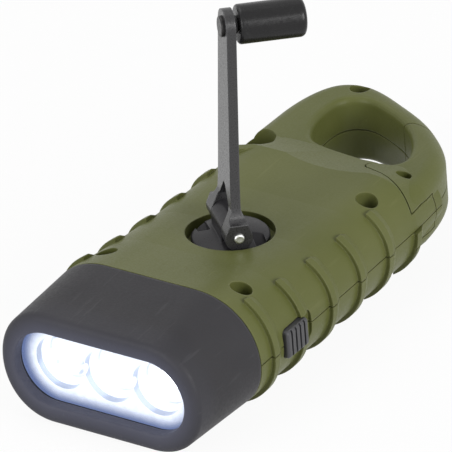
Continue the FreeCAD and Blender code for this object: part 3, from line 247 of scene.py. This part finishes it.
moulding, given, made = group_with(
    "moulded surface",
    {"Colour": (0.1, 0.1, 0.1, 1.0), "Deep Colour": (0.08, 0.08, 0.08, 1.0),
     "Worn And Highlight Colour": (0.2, 0.2, 0.2, 1.0), "Roughness": 0.45, "Grain Scale": 2600.0,
     "Edge Radius": 0.0004, "Wear And Highlight": 0.5},
    ("Colour", "Roughness", "Height"))
where = object_place(moulding)
cloud = span(moulding, noise(moulding, where, cloud_scale, 3.0), 0.35, 0.68, 0.0, 0.85)
clouded = between(moulding, cloud, given["Colour"], given["Deep Colour"])
grain = noise(moulding, where, given["Grain Scale"], 2.0)
smear = add(moulding, "ShaderNodeMapping", {"Vector": where, "Rotation": scuff_turn, "Scale": scuff_scale})
scuffs = span(moulding, noise(moulding, smear.outputs[0], 1.0, 2.0), 0.66, 0.74)
patchy = span(moulding, noise(moulding, where, wear_patch_scale, 4.0), 0.36, 0.6, 0.15, 1.0)
# Edge mask: the lighter edges are partly wear and partly a painted highlight.
edge_wear_and_highlight = maths(moulding, "MULTIPLY", wear_and_highlight_edges(moulding, given["Edge Radius"]), patchy)
wear_and_highlight = maths(moulding, "MULTIPLY", edge_wear_and_highlight, given["Wear And Highlight"])
scuffed = maths(moulding, "MULTIPLY", scuffs, given["Wear And Highlight"])
all_wear_and_highlight = maths(moulding, "MAXIMUM", wear_and_highlight, maths(moulding, "MULTIPLY", scuffed, scuff_share))
gloss = span(moulding, grain, *usual_noise, -grain_gloss, grain_gloss)
rough = maths(moulding, "ADD", given["Roughness"], gloss)
for label, source in (("Colour", between(moulding, all_wear_and_highlight, clouded, given["Worn And Highlight Colour"])),
                      ("Roughness", maths(moulding, "MULTIPLY_ADD", wear_and_highlight, polish_of_wear, rough)),
                      ("Height", maths(moulding, "MULTIPLY_ADD", scuffed, scuff_depth, grain))):
    moulding.links.new(source, made[label])


def moulded(name, colour, deep, bright, roughness, grain_scale=2600.0, edge=0.0004, wear_and_highlight=0.5, relief=0.35,
            corner=0.00025, shine=0.5):
    """Moulded plastic finish with rounded looking corners, its edges lighter from wear and a painted
    highlight.
    """
    material, tree = blank_material(name)
    surface = use_group(tree, moulding, {"Colour": (*colour, 1.0), "Deep Colour": (*deep, 1.0),
                                         "Worn And Highlight Colour": (*bright, 1.0), "Roughness": roughness,
                                         "Grain Scale": grain_scale, "Edge Radius": edge, "Wear And Highlight": wear_and_highlight})
    rounded = add(tree, "ShaderNodeBevel", {"Radius": corner}, samples=6)
    bump = add(tree, "ShaderNodeBump", {"Strength": relief, "Distance": moulding_bump_height,
                                        "Height": surface["Height"], "Normal": rounded.outputs[0]})
    shade(tree, {"Base Color": surface["Colour"], "Roughness": surface["Roughness"],
                 "Specular IOR Level": shine, "Normal": bump.outputs[0]})
    return material


def finish_with(material, *names):
    """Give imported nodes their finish."""
    for name in names:
        mesh = nodes[name].data
        mesh.materials.clear()
        mesh.materials.append(material)


casing_green = moulded("casing green", (0.108, 0.117, 0.036), (0.088, 0.098, 0.024), (0.22, 0.22, 0.1),
                       0.45, grain_scale=2400.0, edge=0.0005, relief=0.3, corner=0.0004, shine=0.22)
finish_with(casing_green, "upper_shell", "lower_shell")


# Lens gasket: a thin ring of soft black rubber between the lip of the bezel's window and the lens.
# The lens presses on it, and nothing else holds it.
gasket_rubber = moulded("gasket rubber", (0.02, 0.02, 0.021), (0.014, 0.014, 0.015), (0.05, 0.05, 0.05),
                        0.7, grain_scale=3500.0, edge=0.0002, wear_and_highlight=0.2, relief=0.5, corner=0.0001,
                        shine=0.3)
finish_with(gasket_rubber, "lens_gasket")


# Lamps: three clear round lamps on their board, lit. Each has its bright chip in the middle, and its
# light spreads white with a cold rim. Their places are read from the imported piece.
lamp_low, lamp_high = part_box("lamps")
lamp_radius = (lamp_high.z - lamp_low.z) / 2.0
lamp_step = ((lamp_high.x - lamp_low.x) - 2.0 * lamp_radius) / 2.0
lamp_z = (lamp_high.z + lamp_low.z) / 2.0
clear_resin_index = 1.49
# Painted shade in the bowls: thin darker edge lines, and facets in a bluish glow over a dark colour.
painted_bowl_shade_lines = ((0.0062, 0.7), (0.0054, 0.35))
bowl_line_half_width = 0.00009
facet_ring_radius = 0.0042
facet_ring_half_width = 0.0013
painted_facet_glow = (0.2, 0.27, 0.45, 1.0)
painted_facet_shade = (0.03, 0.04, 0.07, 1.0)
facet_scale = 520.0
facet_patch_scale = 330.0
ripple_least_light = 0.82
ripple_roughness = 0.06
ripple_relief = 0.08
ripple_bump_height = 0.00005


def distance(tree, across, upwards):
    """How far a place lies off, from its two steps in the lamps' plane."""
    steps = add(tree, "ShaderNodeCombineXYZ", {0: across, 1: upwards}).outputs[0]
    return add(tree, "ShaderNodeVectorMath", {0: steps}, operation="LENGTH").outputs["Value"]


glow, given, made = group_with(
    "light from the lamps", {"Step": 0.0123, "Height": 0.0135, "Full Reach": 0.0062, "Dark Reach": 0.0095},
    ("Share", "From Lamp"))
parts = add(glow, "ShaderNodeSeparateXYZ", {0: object_place(glow)}).outputs
up_down = maths(glow, "SUBTRACT", parts["Z"], given["Height"])
sideways = maths(glow, "ABSOLUTE", parts["X"])
past_outer = maths(glow, "SUBTRACT", sideways, given["Step"])
to_nearest = maths(glow, "MINIMUM", maths(glow, "ABSOLUTE", past_outer), sideways)
beyond_row = maths(glow, "MAXIMUM", past_outer, 0.0)
glow.links.new(distance(glow, to_nearest, up_down), made["From Lamp"])
glow.links.new(span(glow, distance(glow, beyond_row, up_down), given["Full Reach"], given["Dark Reach"],
                    1.0, 0.0, interpolation_type="SMOOTHSTEP"), made["Share"])


def lamp_glow(tree, full_reach, dark_reach):
    """The lamps' light in a material's tree, also for painted glow on other parts."""
    return use_group(tree, glow, {"Step": lamp_step, "Height": lamp_z, "Full Reach": full_reach,
                                  "Dark Reach": dark_reach})


def painted_bowl_shade(tree, where, from_lamp):
    """Mask of painted shade: the bowls' thin edge lines and the small dark facets in them."""
    facets = add(tree, "ShaderNodeTexVoronoi", {"Vector": where, "Scale": facet_scale}).outputs["Distance"]
    painted_shade_patches = span(tree, noise(tree, where, facet_patch_scale, 3.0), 0.47, 0.56)
    painted_spots = maths(tree, "MULTIPLY", painted_shade_patches, span(tree, facets, 0.5, 0.2, 0.0, 0.6))
    in_bowl = maths(tree, "COMPARE", from_lamp, facet_ring_radius, facet_ring_half_width)
    painted_marks = maths(tree, "MULTIPLY", painted_spots, in_bowl)
    for radius, depth in painted_bowl_shade_lines:
        line = maths(tree, "COMPARE", from_lamp, radius, bowl_line_half_width)
        painted_marks = maths(tree, "MAXIMUM", painted_marks, maths(tree, "MULTIPLY", line, depth))
    return painted_marks


def lit(name, dim, bright, full_reach, dark_reach, strength, base, rough, metal=0.0, clear=0.0,
        ripple_scale=900.0, bowls=False):
    """Glowing surface, the lamps' own or a painted glow: white along their row and cold towards its rim."""
    material, tree = blank_material(name)
    near = lamp_glow(tree, full_reach, dark_reach)
    where = object_place(tree)
    ripple = noise(tree, where, ripple_scale, 2.0)
    broken = span(tree, ripple, *usual_noise, ripple_least_light, 1.0)
    share = maths(tree, "MULTIPLY", near["Share"], broken)
    light = between(tree, share, (*dim, 1.0), (*bright, 1.0))
    tint = between(tree, ripple, (*base, 1.0), (base[0] * 0.94, base[1] * 0.96, base[2], 1.0))
    # Painted shade: the edge lines and facets dim the painted glow and darken the colour.
    if bowls:
        painted_marks = painted_bowl_shade(tree, where, near["From Lamp"])
        light = between(tree, painted_marks, light, painted_facet_glow)
        tint = between(tree, painted_marks, tint, painted_facet_shade)
    roughness = span(tree, ripple, *usual_noise, rough, rough + ripple_roughness)
    bump = add(tree, "ShaderNodeBump", {"Strength": ripple_relief, "Distance": ripple_bump_height,
                                        "Height": ripple})
    shade(tree, {"Base Color": tint, "Roughness": roughness, "Metallic": metal,
                 "Transmission Weight": clear, "IOR": clear_resin_index,
                 "Emission Color": light, "Emission Strength": strength, "Normal": bump.outputs[0]})
    return material


lamp_light = lit("lamp resin, lit", dim=(0.62, 0.78, 1.0), bright=(1.0, 1.0, 1.0), full_reach=0.002,
                 dark_reach=0.0028, strength=2.5, base=(0.95, 0.97, 1.0), rough=0.08, ripple_scale=1500.0)
finish_with(lamp_light, "lamps")


# Reflector: a moulded block with three bowls, plated bright. Its skirt stands on the casing's front
# collar, and the bezel holds it there. Its bowls carry a painted glow of the lamps' light, and their
# thin edges and small facets are painted a little darker, as painted shade.
# Painted glow: the reflector's emission stands in for the lamps' light in its bowls.
bowl_chrome_painted_glow = lit("bowl chrome, painted glow", dim=(0.13, 0.17, 0.3), bright=(0.95, 0.98, 1.0), full_reach=0.006,
                  dark_reach=0.0096, strength=0.8, base=(0.32, 0.34, 0.4), rough=0.16, metal=1.0,
                  ripple_scale=700.0, bowls=True)
finish_with(bowl_chrome_painted_glow, "reflector")


# Lens: a flat pane of clear plastic with round ends, that the reflector presses onto the gasket
# behind the bezel's window. It carries a faint painted glow, a haze of the lamps' light.
# Painted glow: a faint emission of the lamps' light on the clear lens.
lens_painted_haze = lit("lens pane, painted haze", dim=(0.0, 0.0, 0.01), bright=(0.7, 0.82, 1.0), full_reach=0.002,
                 dark_reach=0.0095, strength=0.12, base=(1.0, 1.0, 1.0), rough=0.015, clear=1.0,
                 ripple_scale=250.0)
finish_with(lens_painted_haze, "lens")


# Head bezel: a deep charcoal cap pushed over the front collar of the casing, moulded with a
# duller, slightly coarser grain than the shells. The rim of its window carries a painted cold glow of the
# lamps' light.
painted_spill_full_reach = 0.0078
painted_spill_dark_reach = 0.0145
painted_spill_full_depth = 0.004
painted_spill_dark_depth = 0.008
painted_spill_blue = (0.085, 0.092, 0.15, 1.0)
painted_spill_strength = 0.5
bezel_charcoal_painted_glow = moulded("bezel charcoal, painted glow", (0.038, 0.037, 0.04), (0.03, 0.029, 0.032), (0.12, 0.12, 0.125),
                         0.5, grain_scale=1900.0, edge=0.001, wear_and_highlight=0.55, relief=0.45, corner=0.0006,
                         shine=0.14)
tree = bezel_charcoal_painted_glow.node_tree
# Painted glow: a cold blue emission on the bezel's front around the window, standing in for the lamps'
# light.
painted_spill = lamp_glow(tree, painted_spill_full_reach, painted_spill_dark_reach)
bezel_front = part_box("head_bezel")[0].y
depth = add(tree, "ShaderNodeSeparateXYZ", {0: object_place(tree)}).outputs["Y"]
at_front = span(tree, depth, bezel_front + painted_spill_full_depth, bezel_front + painted_spill_dark_depth, 1.0, 0.0)
painted_spill_share = maths(tree, "MULTIPLY", painted_spill["Share"], at_front)
paint = [node for node in tree.nodes if node.bl_idname == "ShaderNodeBsdfPrincipled"][0]
tree.links.new(between(tree, painted_spill_share, (0.0, 0.0, 0.0, 1.0), painted_spill_blue), paint.inputs["Emission Color"])
paint.inputs["Emission Strength"].default_value = painted_spill_strength
finish_with(bezel_charcoal_painted_glow, "head_bezel")


# Lamp board and main board: thin lacquered boards with copper tracks under green lacquer. The lamp
# board stands behind the reflector, and the main board lies on the end walls of the battery cradle.
track_scale = 260.0
track_gap = 0.035
lacquer_scale = 900.0
lacquer_roughness = (0.22, 0.42)
track_relief = 0.3
track_bump_height = 0.00005
boards, tree = blank_material("lacquered board")
where = object_place(tree)
tracks = add(tree, "ShaderNodeTexBrick", {"Vector": where, "Color1": (0.02, 0.17, 0.07, 1.0),
                                          "Color2": (0.025, 0.2, 0.085, 1.0),
                                          "Mortar": (0.05, 0.28, 0.12, 1.0),
                                          "Scale": track_scale, "Mortar Size": track_gap}).outputs
board_bump = add(tree, "ShaderNodeBump", {"Strength": track_relief, "Distance": track_bump_height,
                                          "Height": tracks["Fac"]})
shade(tree, {"Base Color": tracks["Color"], "Normal": board_bump.outputs[0],
             "Roughness": span(tree, noise(tree, where, lacquer_scale, 3.0), 0.0, 1.0, *lacquer_roughness)})
finish_with(boards, "lamp_board", "main_board")


# Lamp wires: two thin leads with soft red covers, soldered to the main board at one end and to the
# lamp board at the other.
wire_red = moulded("wire cover, red", (0.45, 0.03, 0.025), (0.34, 0.02, 0.02), (0.6, 0.12, 0.1), 0.45,
                   grain_scale=3000.0, edge=0.0001, wear_and_highlight=0.2, relief=0.2, corner=0.00005)
finish_with(wire_red, "lamp_wires")


# Metal parts: screws, pins, shafts and gearbox plates of plain plated steel. Turning and drawing
# leave fine lines, and the plating is a little cloudy.
line_stretch = (1.0, 0.08, 1.0)
plating_cloud_scale = 220.0
metal_corner = 0.00012
metal_bump_height = 0.00004
line_gloss = (-0.08, 0.1)
metal_face, given, made = group_with(
    "bare metal surface",
    {"Colour": (0.6, 0.6, 0.6, 1.0), "Cloudy Colour": (0.45, 0.45, 0.45, 1.0), "Roughness": 0.3,
     "Line Scale": 1800.0},
    ("Colour", "Roughness", "Height"))
where = object_place(metal_face)
stretched = add(metal_face, "ShaderNodeMapping", {"Vector": where, "Scale": line_stretch}).outputs[0]
lines = noise(metal_face, stretched, given["Line Scale"], 2.0)
cloudy = span(metal_face, noise(metal_face, where, plating_cloud_scale, 4.0), 0.42, 0.66)
line_rough = span(metal_face, lines, *usual_noise, *line_gloss)
for label, source in (("Colour", between(metal_face, cloudy, given["Colour"], given["Cloudy Colour"])),
                      ("Roughness", maths(metal_face, "ADD", given["Roughness"], line_rough)),
                      ("Height", lines)):
    metal_face.links.new(source, made[label])


def bare_metal(name, colour, cloudy, roughness, line_scale=1800.0, metallic=1.0, relief=0.25):
    """Metal finish with fine lines and clouding."""
    material, tree = blank_material(name)
    surface = use_group(tree, metal_face, {"Colour": (*colour, 1.0), "Cloudy Colour": (*cloudy, 1.0),
                                           "Roughness": roughness, "Line Scale": line_scale})
    rounded = add(tree, "ShaderNodeBevel", {"Radius": metal_corner}, samples=4)
    bump = add(tree, "ShaderNodeBump", {"Strength": relief, "Distance": metal_bump_height,
                                        "Height": surface["Height"], "Normal": rounded.outputs[0]})
    shade(tree, {"Base Color": surface["Colour"], "Roughness": surface["Roughness"],
                 "Metallic": metallic, "Normal": bump.outputs[0]})
    return material


plated_steel = bare_metal("plated steel", (0.62, 0.62, 0.63), (0.5, 0.5, 0.5), 0.32)
finish_with(plated_steel, "shell_screws", "gearbox_screws", "gear_screw", "hub_washer", "gate_screw",
            "gearbox_base", "gearbox_top", "first_idler_shaft", "second_idler_shaft", "rotor_shaft",
            "gate_pin", "gate_spring")


# Battery: three stacked button cells in nickel plated cans, and the black cradle that holds them on
# the floor of the lower shell.
cell_can = bare_metal("button cell can", (0.68, 0.67, 0.64), (0.56, 0.55, 0.52), 0.22, line_scale=900.0)
finish_with(cell_can, "battery_cells")
cradle_black = moulded("cradle black", (0.03, 0.03, 0.032), (0.022, 0.022, 0.024), (0.08, 0.08, 0.08), 0.5)
finish_with(cradle_black, "battery_holder")


# Sliding switch: a charcoal button with upright grip grooves. It runs in a slot in the casing's right
# side, and its stem reaches into the black slide switch under the main board.
button_charcoal = moulded("button charcoal", (0.05, 0.05, 0.054), (0.04, 0.04, 0.043),
                          (0.15, 0.15, 0.155), 0.42, grain_scale=3000.0, edge=0.0003, wear_and_highlight=0.6,
                          relief=0.3, corner=0.0002)
finish_with(button_charcoal, "switch_slider")
finish_with(cradle_black, "switch_body")


# Gear train: natural nylon gears that step the crank's turn up to the generator's. The first is
# screwed to the crank's hub and the others run on steel shafts. The hub and the rotor turn in brass
# bushes.
gear_nylon = moulded("gear nylon", (0.74, 0.72, 0.63), (0.66, 0.64, 0.54), (0.85, 0.84, 0.78), 0.4,
                     grain_scale=2200.0, edge=0.0001, wear_and_highlight=0.3, relief=0.2, corner=0.00005)
finish_with(gear_nylon, "drive_gear", "first_idler_gear", "second_idler_gear", "rotor_pinion")
bush_brass = bare_metal("bush brass", (0.72, 0.53, 0.23), (0.5, 0.36, 0.15), 0.3, line_scale=1500.0)
finish_with(bush_brass, "hub_bush", "rotor_bush")


# Generator: a ring magnet turns inside a pressed steel stator, whose claws reach over a coil of fine
# enamelled copper wire. The coil is wound flat in stacked layers, each a spiral of seven turns.
coil_low, coil_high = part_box("stator_coil")
coil_wire = 0.0001
coil_inner_radius = 0.0075
coil_turns = 7.0
coil_layers = 13
coil_steps_per_turn = 28
coil_wire_sides = 5
coil_outer_radius = (coil_high.x - coil_low.x) / 2.0
coil_layer_step = (coil_high.z - coil_low.z - 2.0 * coil_wire) / (coil_layers - 1)

magnet_black = bare_metal("sintered magnet", (0.07, 0.07, 0.075), (0.045, 0.045, 0.05), 0.55,
                          line_scale=2500.0, metallic=0.6, relief=0.5)
finish_with(magnet_black, "rotor_magnet")
stator_pressed = bare_metal("pressed stator steel", (0.42, 0.42, 0.44), (0.3, 0.29, 0.29), 0.42,
                            line_scale=1300.0)
finish_with(stator_pressed, "stator_core")
coil_copper = bare_metal("enamelled copper", (0.78, 0.36, 0.16), (0.6, 0.25, 0.1), 0.25, line_scale=2400.0)

coil_tree = bpy.data.node_groups.new("wound coil", "GeometryNodeTree")
coil_sizes = {"Inner Radius": coil_inner_radius + coil_wire, "Outer Radius": coil_outer_radius - coil_wire,
              "Turns": coil_turns, "Layers": coil_layers, "Layer Step": coil_layer_step,
              "Wire Radius": coil_wire}
coil_ids = {}
for label, value in coil_sizes.items():
    kind = "NodeSocketInt" if isinstance(value, int) else "NodeSocketFloat"
    socket = coil_tree.interface.new_socket(label, in_out="INPUT", socket_type=kind)
    socket.default_value = value
    coil_ids[label] = socket.identifier
coil_tree.interface.new_socket("Coil", in_out="OUTPUT", socket_type="NodeSocketGeometry")
sizes = add(coil_tree, "NodeGroupInput").outputs
coil_path = add(coil_tree, "GeometryNodeCurveSpiral",
                {"Resolution": coil_steps_per_turn, "Rotations": sizes["Turns"],
                 "Start Radius": sizes["Inner Radius"], "End Radius": sizes["Outer Radius"], "Height": 0.0})
coil_round = add(coil_tree, "GeometryNodeCurvePrimitiveCircle",
                 {"Resolution": coil_wire_sides, "Radius": sizes["Wire Radius"]})
coil_tube = add(coil_tree, "GeometryNodeCurveToMesh", {"Curve": coil_path.outputs[0], "Fill Caps": True,
                                                       "Profile Curve": coil_round.outputs[0]})
coil_rise = add(coil_tree, "ShaderNodeCombineXYZ", {2: sizes["Layer Step"]})
coil_stack = add(coil_tree, "GeometryNodeMeshLine", {"Count": sizes["Layers"],
                                                     "Offset": coil_rise.outputs[0]})
coil_placed = add(coil_tree, "GeometryNodeInstanceOnPoints", {"Points": coil_stack.outputs[0],
                                                              "Instance": coil_tube.outputs[0]})
coil_real = add(coil_tree, "GeometryNodeRealizeInstances", {0: coil_placed.outputs[0]})
coil_painted = add(coil_tree, "GeometryNodeSetMaterial", {"Geometry": coil_real.outputs[0],
                                                          "Material": coil_copper})
add(coil_tree, "NodeGroupOutput", {"Coil": coil_painted.outputs[0]})

coil_seed = bpy.data.objects.new("coil_seed", bpy.data.meshes.new("coil_seed"))
bpy.context.scene.collection.objects.link(coil_seed)
winder = coil_seed.modifiers.new("winding", "NODES")
winder.node_group = coil_tree
for label, value in coil_sizes.items():
    winder[coil_ids[label]] = value
bpy.context.view_layer.update()
wound = coil_seed.evaluated_get(bpy.context.evaluated_depsgraph_get())
coil_mesh = bpy.data.meshes.new_from_object(wound)
coil_seed.modifiers.clear()
bpy.data.objects.remove(coil_seed)
coil_mesh.transform(Matrix.Translation(((coil_low.x + coil_high.x) / 2.0,
                                        (coil_low.y + coil_high.y) / 2.0, coil_low.z + coil_wire)))
coil_winding = bpy.data.objects.new("coil_winding", coil_mesh)
bpy.context.scene.collection.objects.link(coil_winding)
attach(coil_winding, "casing")
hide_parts("stator_coil")


# Crank: the hub disc with its knuckle, the forked arm and the turning knob, all in dark plastic. The
# knob is a little glossier from the hand. A steel pin holds the arm, and a blackened axle the knob.
hub_charcoal = moulded("hub charcoal", (0.024, 0.023, 0.025), (0.018, 0.017, 0.019), (0.13, 0.13, 0.135),
                       0.33, relief=0.25, corner=0.0003, shine=0.15)
finish_with(hub_charcoal, "crank_hub")
arm_charcoal = moulded("arm charcoal", (0.022, 0.0215, 0.0225), (0.017, 0.0165, 0.0175),
                       (0.15, 0.15, 0.155), 0.3, relief=0.18, corner=0.0004, shine=0.55)
finish_with(arm_charcoal, "crank_arm")
knob_black = moulded("knob black", (0.012, 0.0115, 0.012), (0.009, 0.009, 0.0095), (0.08, 0.08, 0.08), 0.25,
                     grain_scale=1500.0, edge=0.0005, wear_and_highlight=0.45, relief=0.12, corner=0.0005, shine=0.25)
finish_with(knob_black, "crank_knob")
pin_steel = bare_metal("pin steel", (0.8, 0.81, 0.78), (0.66, 0.67, 0.65), 0.35, line_scale=1200.0)
finish_with(pin_steel, "arm_pin")
axle_black = bare_metal("blackened axle steel", (0.035, 0.034, 0.034), (0.025, 0.025, 0.026), 0.36,
                        line_scale=1400.0, metallic=0.7)
finish_with(axle_black, "knob_axle")


# Clip ring gate: two green halves in the same plastic as the casing, held by one screw from below
# and turning on a steel pin. A small wire spring round the pin shuts it: its lower leg stands in the
# casing and its upper leg in the gate, so that the coil winds up as the gate opens.
merge_distance = 0.000001
finish_with(casing_green, "gate_upper", "gate_lower")
spring_mesh = nodes["gate_spring"].data.copy()
spring_shape = bmesh.new()
spring_shape.from_mesh(spring_mesh)
bmesh.ops.remove_doubles(spring_shape, verts=spring_shape.verts, dist=merge_distance)
spring_shape.to_mesh(spring_mesh)
spring_shape.free()
spring_wire = bpy.data.objects.new("spring_wire", spring_mesh)
bpy.context.scene.collection.objects.link(spring_wire)
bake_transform(spring_wire)
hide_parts("gate_spring")
